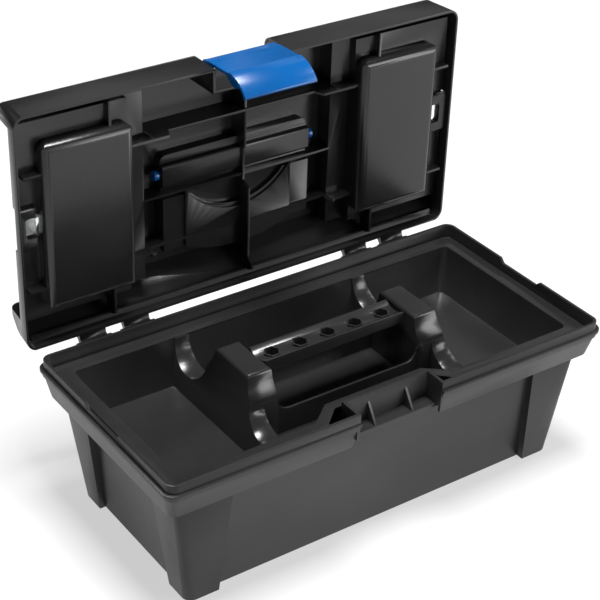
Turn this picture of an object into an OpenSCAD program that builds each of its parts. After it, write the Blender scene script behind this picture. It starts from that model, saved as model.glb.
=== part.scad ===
// Plastic toolbox with a lift-out tray, a hinged lid with two covered
// organiser bins, a folding carry handle and a front latch.
// Millimetres. X runs along the box, -Y is the latch side, Z is up.
// The feet stand at z = 0 and the lid is drawn open.

/* [Show] */
// Sub-part to draw
// Facets of a full circle
$fn = 64; // [32:8:128]

/* [Tub] */
// Height of the rim's top above the feet
tub_height = 127; // [90:1:200]
// Half length of the lip that the lid sits on
lip_x = 202.5; // [150:0.5:300]
// Half depth of the lip that the lid sits on
lip_y = 98; // [70:0.5:150]
// Half length of the tub's wall at the floor
wall_foot_x = 171; // [120:0.5:280]
// Half depth of the tub's wall at the floor
wall_foot_y = 71.5; // [50:0.5:140]
// Half length of the tub's wall under the skirt
wall_head_x = 181; // [120:0.5:290]
// Half depth of the tub's wall under the skirt
wall_head_y = 80; // [50:0.5:145]
// Wall thickness of the tub
tub_wall = 2.5; // [1.5:0.1:4]
// How far the corner posts stand proud of the wall
post_proud = 5.5; // [2:0.5:10]
// Depth of the skirt below the rim's top
skirt_drop = 31; // [15:1:50]
// Height of the upstand above the lip
upstand = 7.3; // [3:0.1:15]

/* [Latch pocket] */
// Half width of the pocket in the rim
pocket_x = 38; // [20:1:60]
// Depth of the pocket from the lip's front edge
pocket_y = 21; // [10:1:30]
// Drop of the pocket's shelf below the rim's top
shelf_drop = 23; // [12:1:40]

/* [Tray] */
// Drop of the tray's rim below the tub's rim
tray_drop = 9; // [4:0.5:30]
// Depth of the tray's compartments
tray_depth = 38; // [20:1:80]
// Half length of the tray's mouth
tray_x = 182; // [120:1:260]
// Half depth of the tray's mouth
tray_y = 77; // [50:1:130]
// Draft of the tray's walls from mouth to floor
tray_draft = 10; // [2:0.5:20]
// Wall thickness of the tray
tray_wall = 2; // [1.2:0.1:4]
// Outer half spacing of the two towers at their tops
tower_x = 88; // [60:1:120]
// Length of a tower's top along the box
tower_top = 21; // [12:1:40]
// Half depth of a tower's top
tower_y = 22; // [12:1:40]
// Height of the towers above the tub's rim
tower_rise = 10; // [0:0.5:10.5]

/* [Grip bar] */
// Width of the grip bar
bar_y = 23; // [15:1:40]
// Across-flats size of the bit sockets
socket_af = 10; // [6:0.5:14]
// Spacing of the bit sockets
socket_pitch = 26; // [18:0.5:30]

/* [Lid] */
// Height of the lid from mouth to top
lid_height = 36; // [25:1:70]
// Angle that the lid is opened to
lid_open = 90; // [0:1:90]
// Wall thickness of the lid
lid_wall = 2; // [1.2:0.1:4]
// Draft of the lid's end walls from mouth to top
lid_draft = 4; // [0:0.5:8]
// Front edge of the organiser opening, ahead of the middle
deck_front = 86; // [60:1:90]
// Rear edge of the organiser opening, behind the middle
deck_rear = 75; // [40:1:90]

/* [Latch] */
// Half width of the latch
latch_x = 32.5; // [15:0.5:60]
// Thickness of the latch plate
latch_wall = 2.6; // [1.5:0.1:5]

/* [Carry handle] */
// Half width of the carry handle
handle_x = 66; // [40:1:100]
// Thickness of the carry handle
handle_z = 7.5; // [5:0.5:12]

/* [Hidden] */

black = [0.07, 0.07, 0.075];
blue = [0.0, 0.2, 0.62];
clear = [0.85, 0.9, 0.93, 0.35];
steel = [0.6, 0.6, 0.62];

// heights above the feet
rim_z = tub_height;
lip_z = rim_z - upstand;
skirt_z = rim_z - skirt_drop;
shelf_z = rim_z - shelf_drop;
tray_z = rim_z - tray_drop;
tray_floor_z = tray_z - tray_depth;
tower_z = rim_z + tower_rise;
mouth_z = rim_z - 7;
lid_z = mouth_z + lid_height;

// plan sizes of the rim
rim_x = lip_x - 2.9;
rim_y = lip_y - 2.4;
rim_wall = 2.4;
pocket_back = -lip_y + pocket_y;
shelf_front = -lip_y + 10;

// the hinge line, and the four stretches of one hinge along it
axis_y = lip_y + 7.7;
axis_z = rim_z - 10.7;
pin_r = 2;
barrel_r = 4;
barrel_in = [96, 135];
barrel_w = 23;
lug_w = 3;
lug_gap = 0.5;
run = 0.06;
hinge_in = barrel_in[0] - lug_gap - lug_w;
hinge_out = barrel_in[1] + barrel_w + lug_gap + lug_w;

// lid plan: bins, deck and columns
bin_x = [105.5, 183];
bin_y = [-72.7, 67];
bin_z = rim_z - 10.5;
deck_z = rim_z + 5;
column_x = [87.8, 105.5];
column_z = rim_z + 11.2;
cover_x = [93, 183.8];
cover_axis = [98, rim_z + 23];
cover_pin = 2.2;
lid_pocket_x = 34.2;
lid_pocket_y = -lip_y + 18.2;
clasp_y = -4;
clasp_x = [186.2, 194.7];
clasp_z = rim_z - 1.5;
clasp_half = 18;
end_r = 8;
ledge_z = [rim_z + 1, rim_z + 3.5];

// handle recess in the lid's top
recess_y = [-21, 58];
recess_z = rim_z + 20;
deep_z = rim_z + 15.6;
channel_y = [-14, 2];
finger_y = 15;
finger_r = 60.6;
scoop_x = 48;
scoop_z = deep_z - 2.5;
scoop_r = 120;
handle_axis = [-7, rim_z + 19.6];
stub_r = 2.5;
handle_front = -2;
hand_hole = [46, 6.5];

// latch pivot
latch_axis = [-lip_y + 8, rim_z + 9.5];
latch_pin = 2;

// ---- shapes shared by several sub-parts ----

// rectangle with round corners, centred
module round_rect(hx, hy, r) {
    square([2 * hx - 2 * r, 2 * hy], center = true);
    square([2 * hx, 2 * hy - 2 * r], center = true);
    for (sx = [-1, 1], sy = [-1, 1])
        translate([sx * (hx - r), sy * (hy - r)])
            circle(r);
}

// upright block with round corners from z0 to z1
module block(hx, hy, r, z0, z1) {
    translate([0, 0, z0])
        linear_extrude(z1 - z0)
            round_rect(hx, hy, r);
}

// points of a round-cornered rectangle at height z
function ring(hx, hy, r, z, steps = 5) = [
    for (q = [0:3], i = [0:steps])
        let (a = 90 * q + 90 * i / steps,
             sx = q == 0 || q == 3 ? 1 : -1,
             sy = q < 2 ? 1 : -1)
            [sx * (hx - r) + r * cos(a), sy * (hy - r) + r * sin(a), z]
];

// block with drafted walls: half sizes low at z0 and high at z1
module drafted(low, high, r, z0, z1) {
    n = 24;
    polyhedron(
        points = concat(ring(low[0], low[1], r, z0), ring(high[0], high[1], r, z1)),
        faces = concat(
            [[for (i = [0:n - 1]) i]],
            [[for (i = [0:n - 1]) 2 * n - 1 - i]],
            [for (i = [0:n - 1]) [i, n + i, n + (i + 1) % n, (i + 1) % n]]
        )
    );
}

// box from its two opposite corners
module span(a, b) {
    translate(a)
        cube([b[0] - a[0], b[1] - a[1], b[2] - a[2]]);
}

// a Y-Z outline carried along X from x0 to x1
module along_x(x0, x1) {
    translate([x0, 0, 0])
        rotate([90, 0, 90])
            linear_extrude(x1 - x0)
                children();
}

// an X-Z outline carried along Y from y0 to y1
module along_y(y0, y1) {
    translate([0, y1, 0])
        rotate([90, 0, 0])
            linear_extrude(y1 - y0)
                children();
}

// round rod along X
module rod_x(r, x0, x1, y, z) {
    translate([x0, y, z])
        rotate([0, 90, 0])
            cylinder(r = r, h = x1 - x0);
}

// round rod along Y
module rod_y(r, x, y0, y1, z) {
    translate([x, y1, z])
        rotate([90, 0, 0])
            cylinder(r = r, h = y1 - y0);
}

// both ends of the box
module both_ends() {
    children();
    mirror([1, 0, 0])
        children();
}

// ---- tub ----

module tub_outside() {
    drafted([wall_foot_x, wall_foot_y], [wall_head_x, wall_head_y], 9, 0, skirt_z);
    drafted([wall_head_x, wall_head_y], [wall_head_x + 8, wall_head_y + 7.5], 9,
            skirt_z, lip_z - 5);
    block(lip_x - 1.6, lip_y - 1.6, 9, lip_z - 6, lip_z);
    block(lip_x, lip_y, 10, lip_z - 2.2, lip_z);
    block(rim_x, rim_y, 8, lip_z - 1, rim_z);
    skirt();
    corner_posts();
}

module skirt() {
    difference() {
        drafted([lip_x - 6, lip_y - 7], [lip_x - 1.6, lip_y - 1.6], 8, skirt_z, lip_z - 1);
        drafted([lip_x - 8.6, lip_y - 9.6], [lip_x - 5.5, lip_y - 5.5], 6,
                skirt_z - 1, lip_z - 5);
    }
}

module corner_posts() {
    intersection() {
        drafted([wall_foot_x + post_proud - 0.5, wall_foot_y + post_proud + 1],
                [wall_head_x + post_proud + 3, wall_head_y + post_proud + 1], 7.5,
                0, skirt_z + 8);
        both_ends() {
            post_window();
            mirror([0, 1, 0])
                post_window();
        }
    }
}

// the corner of the plan that one post fills, wider at its head
module post_window() {
    intersection() {
        along_y(0, 160)
            polygon([[148.5, -1], [141, skirt_z + 9], [260, skirt_z + 9], [260, -1]]);
        along_x(0, 260)
            polygon([[52.5, -1], [46, skirt_z + 9], [160, skirt_z + 9], [160, -1]]);
    }
}

module tub_cavity() {
    foot = [wall_foot_x - tub_wall, wall_foot_y - tub_wall];
    head = [wall_head_x - tub_wall, wall_head_y - tub_wall];
    drafted(foot, head, 7, tub_wall, skirt_z);
    drafted(head, [head[0] + 8, head[1] + 7.5], 7, skirt_z - 0.01, tray_z - 2.5);
    block(rim_x - rim_wall, rim_y - rim_wall, 6, tray_z - 2.6, rim_z + 1);
}

// shallow dip in the upstand at each end
module end_notch() {
    along_x(rim_x - 6, rim_x + 3)
        polygon([[-25.5, rim_z + 1], [-20.5, rim_z - 4], [20.5, rim_z - 4], [25.5, rim_z + 1]]);
}

module latch_pocket_cut() {
    span([-pocket_x, -lip_y - 5, shelf_z], [pocket_x, pocket_back, rim_z + 1]);
    along_y(-lip_y - 5, -wall_head_y - 1)
        polygon([[-pocket_x - 3.5, skirt_z - 1], [pocket_x + 3.5, skirt_z - 1],
                 [pocket_x, lip_z], [-pocket_x, lip_z]]);
}

module latch_pocket_walls() {
    along_y(pocket_back, pocket_back + tub_wall)
        translate([-pocket_x - tub_wall, shelf_z - 3.2])
            square([2 * pocket_x + 2 * tub_wall, rim_z - shelf_z + 3.2]);
    both_ends()
        span([pocket_x, -rim_y + 0.5, shelf_z], [pocket_x + tub_wall, pocket_back + 1, rim_z]);
    // shelf that the latch hooks under, and the wall below it
    span([-pocket_x - tub_wall, shelf_front, shelf_z - 3.2],
         [pocket_x + tub_wall, pocket_back + 1, shelf_z]);
    span([-pocket_x - tub_wall, -wall_head_y - 0.2, skirt_z - 1],
         [pocket_x + tub_wall, -wall_head_y + 4, shelf_z - 1]);
    for (x = [-17, 18])
        along_x(x - 1, x + 1)
            polygon([[pocket_back + 1, shelf_z - 1], [pocket_back + 1, rim_z - 7],
                     [pocket_back, rim_z - 7], [shelf_front + 0.4, shelf_z],
                     [shelf_front + 0.4, shelf_z - 1]]);
}

// ears at the rear that carry one hinge pin
module hinge_lugs() {
    for (x = [barrel_in[0] - lug_gap - lug_w, barrel_in[0] + barrel_w + lug_gap,
              barrel_in[1] - lug_gap - lug_w, barrel_in[1] + barrel_w + lug_gap])
        difference() {
            union() {
                span([x, lip_y - 3.5, axis_z - 5.5], [x + lug_w, axis_y, lip_z - 1]);
                rod_x(barrel_r - 0.4, x, x + lug_w, axis_y, axis_z);
            }
            rod_x(pin_r + 0.02, x - 1, x + lug_w + 1, axis_y, axis_z);
        }
}

module tub() {
    color(black) {
        difference() {
            tub_outside();
            tub_cavity();
            latch_pocket_cut();
            both_ends()
                end_notch();
        }
        latch_pocket_walls();
        both_ends()
            hinge_lugs();
    }
}

module hinge_pin_right() {
    color(steel)
        rod_x(pin_r, hinge_in, hinge_out, axis_y, axis_z);
}

module hinge_pin_left() {
    mirror([1, 0, 0])
        hinge_pin_right();
}

// ---- tray ----

// outline of the tray's front jog round the latch pocket, grown by g
module jog(g) {
    polygon([[-66 - g, -120], [-66 - g, -tray_y - tray_wall], [-44 - g * 0.6, -62.5 + g],
             [44 + g * 0.6, -62.5 + g], [66 + g, -tray_y - tray_wall], [66 + g, -120]]);
}

// space the tray's rim leaves clear in front for the latch pocket
module jog_notch() {
    polygon([[-57, -120], [-57, -82], [-42, -68.5], [42, -68.5], [57, -82], [57, -120]]);
}

module tray_rim() {
    translate([0, 0, tray_z - 2.5])
        linear_extrude(2.5)
            difference() {
                union() {
                    difference() {
                        round_rect(rim_x - 6.6, rim_y - 6.1, 6);
                        round_rect(tray_x - 0.5, tray_y - 0.5, 5);
                    }
                    polygon([[-70, -tray_y - 3], [-66, -tray_y - tray_wall], [-44, -60.5],
                             [44, -60.5], [66, -tray_y - tray_wall], [70, -tray_y - 3]]);
                }
                jog_notch();
            }
}

module tray_shell() {
    floor_x = tray_x - tray_draft;
    floor_y = tray_y - tray_draft;
    difference() {
        drafted([floor_x + tray_wall, floor_y + tray_wall], [tray_x + tray_wall, tray_y + tray_wall],
                6, tray_floor_z - tray_wall, tray_z - 0.01);
        difference() {
            drafted([floor_x, floor_y], [tray_x, tray_y], 5, tray_floor_z, tray_z + 0.1);
            translate([0, 0, tray_floor_z - 1])
                linear_extrude(tray_depth + 2)
                    jog(tray_wall);
        }
        translate([0, 0, tray_floor_z - 5])
            linear_extrude(tray_depth + 10)
                jog(0);
        // floor opened under the hollow partitions
        both_ends()
            span([82, -64, tray_floor_z - 5], [96, 64, tray_floor_z + 1]);
    }
}

// side view of a partition: a tower between two round scoops, grown by g
module partition_outline(g) {
    low = tray_floor_z - 9;
    top = tray_z - 0.5;
    difference() {
        offset(r = 3 + g)
            offset(delta = -3)
                polygon([[-tray_y - 3, low], [-tray_y - 3, top], [-30, top], [-25.5, rim_z - 2],
                         [-tower_y - 1.5, rim_z + 3], [-tower_y, tower_z], [tower_y, tower_z],
                         [tower_y + 1.5, rim_z + 3], [25.5, rim_z - 2], [30, top],
                         [tray_y + 3, top], [tray_y + 3, low]]);
        for (s = [-1, 1])
            translate([s * 52.5, rim_z - 7])
                circle(23 - g);
    }
}

// end view of a partition at +X with its drafted outer face, grown by g
module partition_ends(g) {
    offset(r = 3 + g)
        offset(delta = -3)
            polygon([[66, tray_floor_z - 12], [tower_x - tower_top + 0.5, tower_z], [tower_x, tower_z],
                     [tower_x + 13.5, tray_floor_z - 12]]);
}

module partition() {
    low = tray_floor_z - tray_wall;
    difference() {
        intersection() {
            along_x(60, 110)
                partition_outline(0);
            along_y(-90, 90)
                partition_ends(0);
            drafted([tray_x, tray_y - tray_draft + 1], [tray_x, tray_y + 30], 5, low, tray_z + 76);
            // beside the scoops only the outer part is there
            union() {
                span([80, -90, low], [110, 90, tower_z + 5]);
                span([60, -31, low], [110, 31, tower_z + 5]);
            }
        }
        // hollow from below
        intersection() {
            along_x(60, 110)
                partition_outline(-tray_wall);
            along_y(-66, 66)
                partition_ends(-tray_wall);
            union() {
                span([80 + tray_wall, -90, low - 1], [110, 90, tower_z + 5]);
                span([60, -29, low - 1], [110, 29, tower_z + 5]);
            }
        }
    }
}

// plates between the towers, with round-cornered finger openings above them
module well_plates() {
    top = rim_z - 26;
    r = 11;
    for (s = [-1, 1])
        along_y(s > 0 ? 28.5 : -30.5, s > 0 ? 30.5 : -28.5)
            difference() {
                translate([-68, tray_floor_z - 1])
                    square([136, top + r - tray_floor_z + 1]);
                translate([-66 + r, top])
                    square([132 - 2 * r, 2 * r]);
                for (e = [-1, 1])
                    translate([e * (66 - r), top + r])
                        circle(r);
            }
}

module tray() {
    color(black) {
        tray_shell();
        tray_rim();
        both_ends()
            partition();
        well_plates();
    }
}

// ---- grip bar ----

module grip_bar() {
    top = rim_z + 8.5;
    half = 65.2;
    color(black)
        difference() {
            union() {
                along_x(-half, half)
                    difference() {
                        polygon([[-bar_y / 2, top], [-bar_y / 2, top - 9], [-bar_y / 2 + 3, top - 12],
                                 [bar_y / 2 - 3, top - 12], [bar_y / 2, top - 9], [bar_y / 2, top]]);
                        translate([0, top + 12.5])
                            circle(16);
                    }
                for (i = [-2:2])
                    translate([i * socket_pitch, 0, top - 12])
                        cylinder(d = socket_af / cos(30) + 2.4, h = 10.5, $fn = 6);
            }
            for (i = [-2:2])
                translate([i * socket_pitch, 0, top - 11])
                    cylinder(d = socket_af / cos(30), h = 30, $fn = 6);
        }
}

// ---- lid, drawn shut and then opened ----

module open_lid() {
    translate([0, axis_y, axis_z])
        rotate([-lid_open, 0, 0])
            translate([0, -axis_y, -axis_z])
                children();
}

// side view of the lid, shrunk by g
module lid_outline(g) {
    r = 8;
    n = 6;
    low = mouth_z - (g > 0 ? 1 : 0);
    polygon(concat(
        [[-lip_y + g, low]],
        [for (i = [0:n]) [-lip_y + r - (r - g) * cos(90 * i / n),
                          lid_z - r + (r - g) * sin(90 * i / n)]],
        [[76 - g * 0.6, lid_z - g], [lip_y - g, rim_z + 2 - g * 0.6], [lip_y - g, low]]));
}

// front view of the lid with its round upper ends, shrunk by g
module lid_ends(g) {
    half = lip_x - lid_draft * (lid_height - end_r) / lid_height - end_r;
    translate([-300, 0])
        square([600, lid_z - end_r]);
    translate([-half, 0])
        square([2 * half, lid_z - g]);
    for (s = [-1, 1])
        translate([s * half, lid_z - end_r])
            circle(end_r - g);
}

module lid_outside() {
    intersection() {
        along_x(-lip_x, lip_x)
            lid_outline(0);
        along_y(-lip_y, lip_y)
            lid_ends(0);
        drafted([lip_x, lip_y + 0.5], [lip_x - lid_draft, lip_y + 0.5], 10, mouth_z, lid_z);
    }
}

module lid_inside() {
    intersection() {
        along_x(-lip_x + 1, lip_x - 1)
            lid_outline(lid_wall);
        along_y(-lip_y, lip_y)
            lid_ends(lid_wall);
        drafted([lip_x - lid_wall + 0.5, lip_y - lid_wall + 0.5],
                [lip_x - lid_wall - lid_draft, lip_y - lid_wall + 0.5], 8, mouth_z - 1, lid_z);
        // low over the end decks, higher over the columns and the beams
        union() {
            span([-300, -300, 0], [300, 300, deck_z - lid_wall]);
            span([-column_x[1], -300, 0], [column_x[1], 300, column_z]);
            span([-column_x[0], -300, 0], [column_x[0], 300, lid_z]);
            span([-300, -300, 0], [300, -deck_front - lid_wall, lid_z]);
            span([-300, deck_rear + lid_wall, 0], [300, 300, lid_z]);
        }
    }
}

module lid_shell() {
    top_gap = 2.4;
    difference() {
        lid_outside();
        lid_inside();
        both_ends() {
            // seat of the cover, the deck below it, and the slot for the cover's hinge edge
            span([column_x[0] + lid_wall, -deck_front, lid_z - top_gap],
                 [lip_x + 5, deck_rear, lid_z + 1]);
            span([column_x[1] + lid_wall, -deck_front, deck_z], [lip_x + 5, deck_rear, lid_z]);
            span([column_x[0] + lid_wall, -deck_front, column_z + lid_wall],
                 [column_x[1], deck_rear, lid_z]);
        }
    }
}

// box with round lower edges for one organiser bin
module bin_block(g, top) {
    hx = (bin_x[1] - bin_x[0]) / 2 - g;
    hy = (bin_y[1] - bin_y[0]) / 2 - g;
    z0 = bin_z + g;
    r = 8 - g;
    translate([(bin_x[0] + bin_x[1]) / 2, (bin_y[0] + bin_y[1]) / 2, 0])
        intersection() {
            block(hx, hy, r + 1, z0, top);
            along_x(-hx, hx)
                lower_round(hy, r, z0, top);
            along_y(-hy, hy)
                lower_round(hx, r, z0, top);
        }
}

module lower_round(half, r, z0, top) {
    translate([-half, z0 + r])
        square([2 * half, top - z0 - r]);
    translate([-half + r, z0])
        square([2 * half - 2 * r, r + 1]);
    for (s = [-1, 1])
        translate([s * (half - r), z0 + r])
            circle(r);
}

// holes for a cover's stub axles, through the beams' inner walls
module cover_holes() {
    rod_y(cover_pin + run, cover_axis[0], -deck_front - 5, deck_rear + 5, cover_axis[1]);
}

module handle_recess_block() {
    side = handle_x + 1.2 + lid_wall;
    front = recess_y[0] - lid_wall;
    rear = recess_y[1] + lid_wall;
    translate([0, (front + rear) / 2, 0])
        block(side, (rear - front) / 2, 6, recess_z - lid_wall, lid_z - 1);
    along_x(-side, side)
        translate([(channel_y[0] + channel_y[1]) / 2, 0])
            lower_round((channel_y[1] - channel_y[0]) / 2 + lid_wall, 2.5,
                        deep_z - lid_wall, recess_z);
    difference() {
        span([-side, finger_y - lid_wall, deep_z - lid_wall], [side, rear, recess_z - 0.5]);
        translate([0, finger_y + 20 - finger_r, 0])
            cylinder(r = finger_r - lid_wall, h = 400);
    }
    finger_scoop(lid_wall, scoop_z - lid_wall, lid_z - 1);
}

// deeper middle of the finger well, between two arcs, grown by g
module finger_scoop(g, low, high) {
    translate([0, 0, low])
        linear_extrude(high - low)
            difference() {
                intersection() {
                    translate([0, 68 - scoop_r])
                        circle(scoop_r + g);
                    translate([-scoop_x - g, 0])
                        square([2 * scoop_x + 2 * g, 90]);
                }
                translate([0, finger_y + 23 - finger_r])
                    circle(finger_r - g);
            }
}

module handle_recess_cut() {
    half = handle_x + 1.2;
    translate([0, (recess_y[0] + recess_y[1]) / 2, 0])
        block(half, (recess_y[1] - recess_y[0]) / 2, 4, recess_z, lid_z + 1);
    span([-half, channel_y[0], deep_z], [half, channel_y[1], lid_z - 2]);
    difference() {
        span([-half, finger_y, deep_z], [half, recess_y[1], lid_z - 2]);
        translate([0, finger_y + 20 - finger_r, 0])
            cylinder(r = finger_r, h = 400);
    }
    finger_scoop(0, scoop_z, lid_z + 1);
    rod_x(stub_r + run, -80, 80, handle_axis[0], handle_axis[1]);
}

// stiffening ribs under the lid's top
module lid_ribs() {
    top = lid_z - 1;
    for (y = [8, 51])
        span([-column_x[0] - 1, y - 1, tower_z + 1], [column_x[0] + 1, y + 1, top]);
    front_rib();
    centre_rib();
    both_ends() {
        // across the column to the bin at the rear
        span([column_x[0] - 5, 50, rim_z + 1], [bin_x[0] + 1, 52, column_z + 1]);
        // pegs beside the columns
        for (y = [-50, 51])
            translate([column_x[0] - 1.5, y, rim_z - 1])
                cylinder(r = 1.7, h = 13);
        // from the bin to the end wall
        for (y = [-48, 48])
            span([bin_x[1] - 1, y - 1, mouth_z + 1], [rim_x - 3, y + 1, deck_z - 1]);
        locating_rib();
        mirror([0, 1, 0])
            front_locating_rib();
    }
}

// rib across the lid in front, deeper at the columns
module front_rib() {
    along_y(-51, -49)
        polygon([[-bin_x[0] - 1, rim_z - 2.5], [-72, rim_z - 2.5], [-68, rim_z + 6],
                 [68, rim_z + 6], [72, rim_z - 2.5], [bin_x[0] + 1, rim_z - 2.5],
                 [bin_x[0] + 1, column_z + 1], [column_x[0] + 1, column_z + 1],
                 [column_x[0] + 1, lid_z - 1], [-column_x[0] - 1, lid_z - 1],
                 [-column_x[0] - 1, column_z + 1], [-bin_x[0] - 1, column_z + 1]]);
}

// rib from a bin to the rear beam's wall, stepped to sit inside the tub's rim
module locating_rib() {
    along_x(123, 125)
        polygon([[bin_y[1] - 1, deck_z - 1], [bin_y[1] - 1, rim_z - 5], [rim_y - 6, rim_z - 5],
                 [rim_y - 3.3, rim_z + 1], [lip_y - 1, rim_z + 1], [lip_y - 1, rim_z + 2],
                 [lip_y - 6, deck_z + 3], [deck_rear + 1.5, deck_z + 3], [deck_rear + 1, deck_z - 1]]);
}

// short rib ahead of a bin, drawn behind it
module front_locating_rib() {
    along_x(123, 125)
        polygon([[-bin_y[0] - 1, deck_z - 1], [-bin_y[0] - 1, rim_z - 5], [rim_y - 3.3, rim_z - 5],
                 [rim_y - 3.3, rim_z + 1], [lip_y - 1, rim_z + 1], [lip_y - 1, deck_z - 1]]);
}

// rib down the middle, notched where it passes over the tray's grip bar
module centre_rib() {
    along_x(2.5, 4.5)
        polygon([[lid_pocket_y + 1, lid_z - 1], [lid_pocket_y + 1, rim_z + 8], [-17, rim_z + 8],
                 [-15, rim_z + 10.2], [13, rim_z + 10.2], [17, rim_z + 1.5], [80, rim_z + 1.5],
                 [84, rim_z - 5], [rim_y - 6, rim_z - 5], [rim_y - 3.3, rim_z + 1],
                 [lip_y - 1, rim_z + 1], [lip_y - 1, rim_z + 2.5], [76, lid_z - 1]]);
}

// ledge along the rear wall, above the tub's rim
module rear_ledge() {
    span([-195, 90, ledge_z[0]], [195, 97, ledge_z[1]]);
}

// land at each end that a cover's clasp reaches through
module clasp_land() {
    r = 3;
    translate([0, clasp_y, 0])
        along_x(clasp_x[0], lip_x - 2)
            lower_round(clasp_half, r, clasp_z, deck_z - 1);
}

module clasp_cut() {
    // window for the clasp
    translate([(bin_x[1] + 0.3 + clasp_x[1]) / 2, clasp_y, 0])
        block((clasp_x[1] - bin_x[1] - 0.3) / 2, 8.5, 2.5, clasp_z - 2, deck_z + 1);
    span([bin_x[1] + 0.3, clasp_y - 8.5, clasp_z - 2], [bin_x[1] + 4, clasp_y + 8.5, deck_z + 1]);
    // dip in the end wall for a finger
    span([lip_x - 4.1, clasp_y - clasp_half, rim_z + 1.5],
         [lip_x + 5, clasp_y + clasp_half, deck_z + 1]);
}

module lid_latch_pocket_walls() {
    span([-lid_pocket_x - lid_wall, lid_pocket_y, mouth_z],
         [lid_pocket_x + lid_wall, lid_pocket_y + lid_wall, lid_z - 1]);
    both_ends()
        difference() {
            span([lid_pocket_x, -lip_y + 0.6, mouth_z],
                 [lid_pocket_x + lid_wall, lid_pocket_y + 1, lid_z - 1]);
            translate([0, -lip_y, lid_z])
                rotate([45, 0, 0])
                    cube([100, 12, 12], center = true);
        }
}

module lid_latch_pocket_cut() {
    span([-lid_pocket_x, -lip_y - 1, mouth_z - 1], [lid_pocket_x, lid_pocket_y, lid_z + 1]);
    rod_x(latch_pin + run, -lid_pocket_x - 5, lid_pocket_x + 5, latch_axis[0], latch_axis[1]);
}

// barrels on the lid's rear edge, with the webs that carry them
module lid_barrels() {
    for (x = barrel_in)
        difference() {
            union() {
                rod_x(barrel_r, x, x + barrel_w, axis_y, axis_z);
                along_x(x, x + barrel_w)
                    polygon([[lip_y - 1.4, mouth_z], [lip_y + 2.2, mouth_z - 0.6],
                             [axis_y - 2.4, axis_z + 1.2], [axis_y + 2, axis_z + 3.3],
                             [axis_y - 2, axis_z + 6], [lip_y - 1.4, mouth_z + 8]]);
            }
            rod_x(pin_r + run, x - 1, x + barrel_w + 1, axis_y, axis_z);
        }
}

module lid_shut() {
    difference() {
        union() {
            lid_shell();
            both_ends() {
                bin_block(0, lid_z - 2.4);
                clasp_land();
            }
            handle_recess_block();
            lid_ribs();
            rear_ledge();
            lid_latch_pocket_walls();
        }
        both_ends() {
            bin_block(lid_wall, lid_z + 1);
            cover_holes();
            clasp_cut();
        }
        handle_recess_cut();
        lid_latch_pocket_cut();
    }
    both_ends()
        lid_barrels();
}

module lid() {
    color(black)
        open_lid()
            lid_shut();
}

// ---- latch ----

// side view of the latch's upper plate, and of its thicker curved tail
module latch_outline() {
    t = latch_wall;
    crease = rim_z - 23;
    polygon([[-97.6, rim_z + 13.6], [-99.4, rim_z + 4], [-100.2, crease - 1], [-98, crease - 1],
             [-100.2 + t, crease + 2], [-99.4 + t, rim_z + 3.8], [-95.2, rim_z + 13.6]]);
    // tail, curving in under the tub's rim and ending in a bead
    polygon(concat([for (i = [0:8]) tail_point(0, i / 8)],
                   [for (i = [8:-1:0]) tail_point(t, i / 8)]));
    translate(tail_point(1.7, 1))
        circle(1.7);
}

// point at share f down the tail's face, g in from it
function tail_point(g, f) =
    let (a = 54 * f, r = 28.5)
        [-101 + r - (r - g) * cos(a), rim_z - 22.5 - (r - g) * sin(a)];

module latch_shut() {
    along_x(-latch_x, latch_x)
        latch_outline();
    // hook that catches under the tub's shelf
    along_x(-26, 26)
        polygon([[-98.6, rim_z - 26], [-89.3, rim_z - 26.9], [-89.3, rim_z - 28.5],
                 [-97.4, rim_z - 32.5]]);
    both_ends() {
        // ribs that stiffen the hook
        along_x(27.5, 30)
            polygon([[-98.6, rim_z - 12], [-94, rim_z - 17], [-89.3, rim_z - 25],
                     [-89.3, rim_z - 29], [-93.5, rim_z - 36.5], [-97.6, rim_z - 31]]);
        along_x(latch_x - 2.6, latch_x) {
            polygon([[-98, rim_z + 13.4], [-98.6, rim_z - 2], [latch_axis[0], latch_axis[1] - 3.5],
                     [latch_axis[0], latch_axis[1] + 3.5]]);
            translate(latch_axis)
                circle(3.6);
        }
        rod_x(latch_pin, latch_x - 1, lid_pocket_x + 3, latch_axis[0], latch_axis[1]);
    }
}

module latch() {
    color(blue)
        open_lid()
            latch_shut();
}

// ---- carry handle ----

module handle_outline() {
    difference() {
        union() {
            translate([0, (handle_front + 22) / 2])
                round_rect(handle_x, (22 - handle_front) / 2, 7);
            intersection() {
                translate([0, finger_y + 20 - finger_r])
                    circle(finger_r - 0.6);
                translate([-handle_x, 0])
                    square([2 * handle_x, 60]);
            }
        }
        // hand opening
        translate([0, handle_front + 6 + hand_hole[1]])
            round_rect(hand_hole[0], hand_hole[1], 6);
    }
}

// arm that drops from the plate to the stub axle
module handle_arm() {
    along_x(handle_x - 9, handle_x)
        translate(handle_axis) {
            circle(3.6);
            polygon([[-3.5, 0.5], [-2.5, 5.5], [5, 9.4], [9, 9.4], [9, 1.9], [3.5, -0.5]]);
        }
}

module carry_handle() {
    color(blue)
        open_lid() {
            translate([0, 0, lid_z - handle_z])
                linear_extrude(handle_z)
                    handle_outline();
            both_ends() {
                handle_arm();
                rod_x(stub_r, handle_x - 1, handle_x + 5, handle_axis[0], handle_axis[1]);
                rod_x(4.2, handle_x + 4.6, handle_x + 9, handle_axis[0], handle_axis[1]);
            }
        }
}

// ---- organiser covers ----

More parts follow.
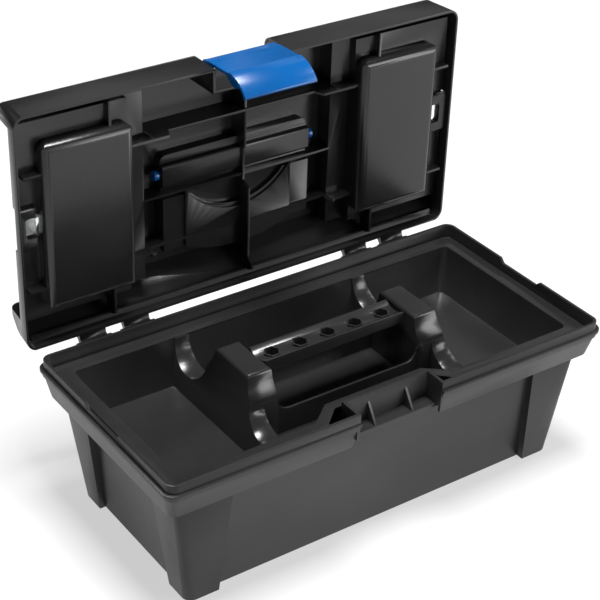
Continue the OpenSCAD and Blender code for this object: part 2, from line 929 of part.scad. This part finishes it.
module cover_shut() {
    top = lid_z;
    front = -deck_front + 0.5;
    rear = deck_rear - 0.5;
    // plate with a shallow rim round its edge
    difference() {
        span([cover_x[0], front, top - 2], [cover_x[1] + 1.5, rear, top]);
        span([115, -58, top - 0.7], [172, 55, top + 1]);
    }
    // clasp that reaches down through the deck, and the lip that lifts it
    span([cover_x[1], clasp_y - 7.5, clasp_z + 1], [cover_x[1] + 1.5, clasp_y + 7.5, top]);
    span([cover_x[1] + 1.4, clasp_y - 7.5, clasp_z + 1],
         [cover_x[1] + 3.2, clasp_y + 7.5, clasp_z + 3.5]);
    along_y(clasp_y - 15, clasp_y + 15)
        polygon([[cover_x[1], top - 2], [cover_x[1], top], [188.5, top], [188.5, top - 9],
                 [187, top - 9], [187, top - 2]]);
    // hinge edge and its stub axles
    span([cover_axis[0] - 2, front, cover_axis[1]], [cover_axis[0] + 2, rear, top - 1]);
    rod_y(cover_pin, cover_axis[0], -deck_front - 6.5, deck_rear + 4.4, cover_axis[1]);
    cover_tab();
}

// tab on the front axle that turns inside the front beam
module cover_tab() {
    along_y(-deck_front - 6.5, -deck_front - 3.5)
        polygon([[cover_axis[0] - 4.6, rim_z + 10.5], [cover_axis[0] - 4.6, cover_axis[1]],
                 [cover_axis[0] - 2, cover_axis[1] + 2], [cover_axis[0] + 1, cover_axis[1] + 2],
                 [cover_axis[0] + 1.8, cover_axis[1]], [cover_axis[0] + 1.8, rim_z + 10.5]]);
}

module cover_right() {
    color(clear)
        open_lid()
            cover_shut();
}

module cover_left() {
    mirror([1, 0, 0])
        cover_right();
}

tub();
hinge_pin_left();
hinge_pin_right();
tray();
grip_bar();
lid();
latch();
carry_handle();
cover_left();
cover_right();
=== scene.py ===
import math

import bpy
from mathutils import Matrix, Vector

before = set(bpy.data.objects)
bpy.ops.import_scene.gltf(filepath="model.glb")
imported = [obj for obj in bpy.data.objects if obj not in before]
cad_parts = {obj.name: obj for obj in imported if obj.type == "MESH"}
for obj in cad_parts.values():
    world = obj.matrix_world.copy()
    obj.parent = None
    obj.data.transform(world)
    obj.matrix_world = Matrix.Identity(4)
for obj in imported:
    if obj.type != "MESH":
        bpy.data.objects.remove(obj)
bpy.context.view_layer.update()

MM = 0.001

# the photograph's viewpoint, solved from the box's straight edges
CAMERA_PLACE = Vector((-0.65727, -0.87037, 0.83350))
CAMERA_AZIMUTH = -35.89
CAMERA_ELEVATION = 31.645
CAMERA_ROLL = 2.017
CAMERA_LENS = 100.377

# soft square lights round the box: azimuth from +Y towards +X and elevation in degrees, side in
# metres, watts
LIGHT_AIM = Vector((0.0, 0.0, 0.12))
LIGHT_DISTANCE = 2.2
SOFTBOXES = {
    "overhead": (0, 90, 0.8, 90.0),
    "rear_right_high": (36, 32, 1.0, 0.9),
    "rear_left_high": (-45, 50, 1.2, 1.5),
    "right_low": (90, 20, 1.2, 15.0),
    "front_right_low": (140, 12, 1.2, 30.0),
    "front_low": (180, 20, 1.2, 2.0),
}
WORLD_STRENGTH = 0.05
FLOOR_HALF = 8.0
FLOOR_GLOW = 0.58

# rounding of each moulding's edges: widths in millimetres, and which edges count as sharp
EDGE_ANGLE = math.radians(24)
FLAT_ANGLE = math.radians(0.5)
WELD_GAP = 0.00001
EDGE_ROUND = {
    "tub": 1.1,
    "tray": 1.2,
    "grip_bar": 0.6,
    "lid": 1.0,
    "latch": 0.45,
    "carry_handle": 1.2,
    "cover_left": 0.4,
    "cover_right": 0.4,
    "hinge_pin_left": 0.3,
    "hinge_pin_right": 0.3,
}

# sizes of the materials' patterns, as features per metre
GLOSS_PATCHES = 14.0
FLOW_MARKS = 30.0
FINE_GRAIN = 1400.0
SPARK_PITS = 900.0
CLEAR_HAZE = 60.0
CLEAR_RIPPLE = 90.0
DRAWN_STREAKS = 900.0


# ---- materials ----


class Nodes:
    """A new material's node tree, with short ways to add nodes to it."""

    def __init__(self, name):
        self.material = bpy.data.materials.new(name)
        self.material.use_nodes = True
        self.tree = self.material.node_tree
        self.shader = self.tree.nodes["Principled BSDF"]
        self.place = self.tree.nodes.new("ShaderNodeTexCoord").outputs["Object"]

    def link(self, source, target):
        self.tree.links.new(source, target)

    def noise(self, per_metre, detail=2.0, roughness=0.5, stretch=None):
        node = self.tree.nodes.new("ShaderNodeTexNoise")
        node.inputs["Scale"].default_value = per_metre
        node.inputs["Detail"].default_value = detail
        node.inputs["Roughness"].default_value = roughness
        if stretch is None:
            self.link(self.place, node.inputs["Vector"])
            return node.outputs["Fac"]
        mapping = self.tree.nodes.new("ShaderNodeMapping")
        mapping.inputs["Scale"].default_value = stretch
        self.link(self.place, mapping.inputs["Vector"])
        self.link(mapping.outputs["Vector"], node.inputs["Vector"])
        return node.outputs["Fac"]

    def grains(self, per_metre):
        node = self.tree.nodes.new("ShaderNodeTexVoronoi")
        node.inputs["Scale"].default_value = per_metre
        self.link(self.place, node.inputs["Vector"])
        return node.outputs["Distance"]

    def ramp(self, value, low, high, to_low=0.0, to_high=1.0):
        node = self.tree.nodes.new("ShaderNodeMapRange")
        node.inputs["From Min"].default_value = low
        node.inputs["From Max"].default_value = high
        node.inputs["To Min"].default_value = to_low
        node.inputs["To Max"].default_value = to_high
        self.link(value, node.inputs["Value"])
        return node.outputs["Result"]

    def two_colors(self, value, low, high):
        node = self.tree.nodes.new("ShaderNodeMix")
        node.data_type = "RGBA"
        node.inputs["A"].default_value = (*low, 1.0)
        node.inputs["B"].default_value = (*high, 1.0)
        self.link(value, node.inputs["Factor"])
        return node.outputs["Result"]

    def add(self, first, second, weight=1.0):
        node = self.tree.nodes.new("ShaderNodeMath")
        node.operation = "MULTIPLY_ADD"
        node.inputs[1].default_value = weight
        self.link(second, node.inputs[0])
        self.link(first, node.inputs[2])
        return node.outputs["Value"]

    def bump(self, height, depth):
        node = self.tree.nodes.new("ShaderNodeBump")
        node.inputs["Strength"].default_value = 1.0
        node.inputs["Distance"].default_value = depth
        self.link(height, node.inputs["Height"])
        self.link(node.outputs["Normal"], self.shader.inputs["Normal"])


def moulded_plastic(name, dark, light, gloss, grain_depth, ior=1.5):
    """Injection-moulded plastic: fine spark grain, faint flow marks, patchy gloss.

    gloss is the least and the most roughness; grain_depth is in metres.
    """
    n = Nodes(name)
    patches = n.noise(GLOSS_PATCHES, 3.0, 0.6)
    flow = n.noise(FLOW_MARKS, 2.0, 0.5, stretch=(1.0, 6.0, 6.0))
    n.link(n.two_colors(n.ramp(patches, 0.35, 0.65), dark, light), n.shader.inputs["Base Color"])
    rough = n.ramp(n.add(patches, flow, 0.5), 0.45, 1.05, gloss[0], gloss[1])
    n.link(rough, n.shader.inputs["Roughness"])
    n.shader.inputs["IOR"].default_value = ior
    grain = n.add(n.noise(FINE_GRAIN, 3.0, 0.6), n.grains(SPARK_PITS), 0.6)
    n.bump(grain, grain_depth)
    return n.material


def clear_plastic():
    n = Nodes("clear_plastic")
    n.shader.inputs["Base Color"].default_value = (0.93, 0.96, 0.97, 1.0)
    n.shader.inputs["Transmission Weight"].default_value = 1.0
    n.shader.inputs["IOR"].default_value = 1.49
    haze = n.ramp(n.noise(CLEAR_HAZE, 3.0, 0.5), 0.3, 0.7, 0.05, 0.12)
    n.link(haze, n.shader.inputs["Roughness"])
    n.bump(n.noise(CLEAR_RIPPLE, 2.0, 0.5), 0.00005)
    return n.material


def drawn_steel():
    n = Nodes("drawn_steel")
    n.shader.inputs["Metallic"].default_value = 1.0
    streaks = n.noise(DRAWN_STREAKS, 2.0, 0.5, stretch=(0.03, 1.0, 1.0))
    steel = n.two_colors(streaks, (0.42, 0.42, 0.43), (0.62, 0.62, 0.63))
    n.link(steel, n.shader.inputs["Base Color"])
    n.link(n.ramp(streaks, 0.3, 0.7, 0.25, 0.4), n.shader.inputs["Roughness"])
    n.bump(streaks, 0.00002)
    return n.material


def materials():
    outer = moulded_plastic(
        "tub_plastic", (0.012, 0.012, 0.0124), (0.015, 0.015, 0.0154), (0.32, 0.4), 0.00006, ior=1.42
    )
    lid = moulded_plastic(
        "lid_plastic", (0.009, 0.009, 0.0093), (0.012, 0.012, 0.0123), (0.2, 0.28), 0.00003
    )
    inner = moulded_plastic(
        "tray_plastic", (0.015, 0.015, 0.0153), (0.019, 0.019, 0.0193), (0.2, 0.28), 0.00002
    )
    blue = moulded_plastic(
        "blue_plastic", (0.0, 0.062, 0.225), (0.0, 0.074, 0.255), (0.22, 0.3), 0.00001
    )
    clear = clear_plastic()
    return {
        "tub": outer,
        "lid": lid,
        "tray": inner,
        "grip_bar": inner,
        "latch": blue,
        "carry_handle": blue,
        "cover_left": clear,
        "cover_right": clear,
        "hinge_pin_left": drawn_steel(),
        "hinge_pin_right": drawn_steel(),
    }


# ---- mouldings ----


def soften(node, width):
    """Rounds the sharp edges of a CAD node and shades it smoothly."""
    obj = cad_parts[node]
    weld = obj.modifiers.new("weld", "WELD")
    weld.merge_threshold = WELD_GAP
    flat = obj.modifiers.new("flat", "DECIMATE")
    flat.decimate_type = "DISSOLVE"
    flat.angle_limit = FLAT_ANGLE
    bevel = obj.modifiers.new("bevel", "BEVEL")
    bevel.width = width * MM
    bevel.segments = 2
    bevel.limit_method = "ANGLE"
    bevel.angle_limit = EDGE_ANGLE
    bevel.use_clamp_overlap = True
    bevel.harden_normals = True
    for face in obj.data.polygons:
        face.use_smooth = True


def finish_nodes():
    looks = materials()
    for node, width in EDGE_ROUND.items():
        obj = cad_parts[node]
        obj.data.materials.clear()
        obj.data.materials.append(looks[node])
        soften(node, width)


# ---- studio ----


def floor():
    mesh = bpy.data.meshes.new("floor")
    signs = [(-1, -1), (1, -1), (1, 1), (-1, 1)]
    corners = [(x * FLOOR_HALF, y * FLOOR_HALF, 0.0) for x, y in signs]
    mesh.from_pydata(corners, [], [(0, 1, 2, 3)])
    obj = bpy.data.objects.new("floor", mesh)
    bpy.context.scene.collection.objects.link(obj)
    n = Nodes("floor_paper")
    clouds = n.noise(3.0)
    paper = n.two_colors(clouds, (0.3, 0.3, 0.3), (0.32, 0.32, 0.32))
    n.link(paper, n.shader.inputs["Base Color"])
    n.shader.inputs["Roughness"].default_value = 0.9
    n.shader.inputs["Specular IOR Level"].default_value = 0.1
    n.shader.inputs["Emission Color"].default_value = (1.0, 1.0, 1.0, 1.0)
    n.shader.inputs["Emission Strength"].default_value = FLOOR_GLOW
    mesh.materials.append(n.material)


def softbox(name, azimuth, elevation, size, watts):
    """A soft area light aimed at the middle of the box."""
    data = bpy.data.lights.new(name, "AREA")
    data.shape = "SQUARE"
    data.size = size
    data.energy = watts
    obj = bpy.data.objects.new(name, data)
    bpy.context.scene.collection.objects.link(obj)
    turn = math.radians(azimuth)
    lift = math.radians(elevation)
    towards = Vector(
        (math.sin(turn) * math.cos(lift), math.cos(turn) * math.cos(lift), math.sin(lift))
    )
    place = LIGHT_AIM + LIGHT_DISTANCE * towards
    aim = (-towards).to_track_quat("-Z", "Y").to_matrix().to_4x4()
    obj.matrix_world = Matrix.Translation(place) @ aim


def studio():
    world = bpy.data.worlds.new("studio")
    bpy.context.scene.world = world
    world.use_nodes = True
    background = world.node_tree.nodes["Background"]
    background.inputs["Color"].default_value = (1.0, 1.0, 1.0, 1.0)
    background.inputs["Strength"].default_value = WORLD_STRENGTH
    for name, (azimuth, elevation, size, watts) in SOFTBOXES.items():
        softbox(name, azimuth, elevation, size, watts)
    bpy.context.scene.view_settings.view_transform = "Standard"
    floor()


def camera():
    data = bpy.data.cameras.new("camera")
    data.lens = CAMERA_LENS
    data.sensor_width = 36.0
    data.clip_end = 30.0
    obj = bpy.data.objects.new("camera", data)
    bpy.context.scene.collection.objects.link(obj)
    azimuth = math.radians(CAMERA_AZIMUTH)
    elevation = math.radians(CAMERA_ELEVATION)
    forward = Vector(
        (
            -math.sin(azimuth) * math.cos(elevation),
            math.cos(azimuth) * math.cos(elevation),
            -math.sin(elevation),
        )
    )
    aim = forward.to_track_quat("-Z", "Y").to_matrix().to_4x4()
    roll = Matrix.Rotation(math.radians(CAMERA_ROLL), 4, "Z")
    obj.matrix_world = Matrix.Translation(CAMERA_PLACE) @ aim @ roll
    bpy.context.scene.camera = obj


finish_nodes()
studio()
camera()
